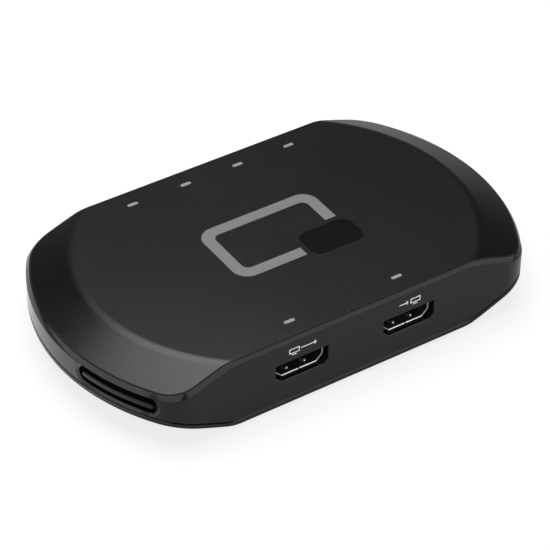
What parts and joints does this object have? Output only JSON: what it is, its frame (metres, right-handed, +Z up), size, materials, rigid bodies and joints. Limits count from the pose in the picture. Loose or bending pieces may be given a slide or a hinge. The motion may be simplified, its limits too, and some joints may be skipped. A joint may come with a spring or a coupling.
{
  "type": "video capture box",
  "caption": "Low rounded plastic box with video sockets in front, audio jacks and a data socket behind, a capture board inside and lit marks on its sloping-ended lid.",
  "frame": {"origin": "centre of the bounding box's lower face, on the surface that the feet stand on", "axes": "+X along the length, towards the right seen from the front; the video sockets face -Y; +Z up"},
  "size_m": [0.134, 0.076, 0.022],
  "materials": {
    "base_black": "fine matt moulded texture",
    "ring_black": "smooth satin moulding",
    "cover_black": "fine even spark-eroded texture",
    "inlay_grey": "gloss, mid grey",
    "inlay_black": "gloss, deep black",
    "foot_rubber": "dull, slightly dusty",
    "screw_steel": "zinc-plated, turned",
    "louvre_black": "smooth satin moulding",
    "board_green": "solder mask over glass fibre",
    "pipe_frosted": "frosted translucent plastic",
    "led_pale": "cast resin",
    "socket_metal": "nickel-plated sheet",
    "socket_black": "glass-filled moulding",
    "contact_gold": "gold flash",
    "jack_black": "glass-filled moulding",
    "terminal_tin": "tinned strip",
    "chip_black": "moulded epoxy",
    "pad_blue": "soft filled silicone",
    "sink_aluminium": "extruded, clear anodised",
    "crystal_can": "drawn can",
    "inductor_grey": "pressed ferrite",
    "capacitor_can": "drawn can",
    "ceramic_tan": "fired ceramic",
    "shield_metal": "tinned sheet"
  },
  "bodies": {
    "root": {"base_plate": "base_black", "wall_ring": "ring_black", "top_cover": "cover_black", "inlay_frame": "inlay_grey", "inlay_window": "inlay_black", "foot_front_left": "foot_rubber", "foot_front_right": "foot_rubber", "foot_rear_left": "foot_rubber", "foot_rear_right": "foot_rubber", "case_screws": "screw_steel", "vent_louvre_left": "louvre_black", "vent_louvre_right": "louvre_black", "main_board": "board_green", "board_screws": "screw_steel", "light_pipe_video_out": "pipe_frosted", "light_pipe_video_in": "pipe_frosted", "light_pipe_data": "pipe_frosted", "light_pipe_line_out": "pipe_frosted", "light_pipe_line_in": "pipe_frosted", "light_pipe_mic": "pipe_frosted", "indicator_leds": "led_pale", "video_out_shell": "socket_metal", "video_out_tongue": "socket_black", "video_out_contacts": "contact_gold", "video_in_shell": "socket_metal", "video_in_tongue": "socket_black", "video_in_contacts": "contact_gold", "data_shell": "socket_metal", "data_tongue": "socket_black", "data_contacts": "contact_gold", "line_out_jack": "jack_black", "line_in_jack": "jack_black", "mic_jack": "jack_black", "jack_terminals": "terminal_tin", "capture_processor": "chip_black", "thermal_pad": "pad_blue", "heat_sink": "sink_aluminium", "video_receiver": "chip_black", "video_transmitter": "chip_black", "memory_chips": "chip_black", "data_controller": "chip_black", "audio_codec": "chip_black", "flash_memory": "chip_black", "crystals": "crystal_can", "power_inductors": "inductor_grey", "polymer_capacitors": "capacitor_can", "ceramic_capacitors": "ceramic_tan", "shield_can": "shield_metal"}
  },
  "joints": []
}
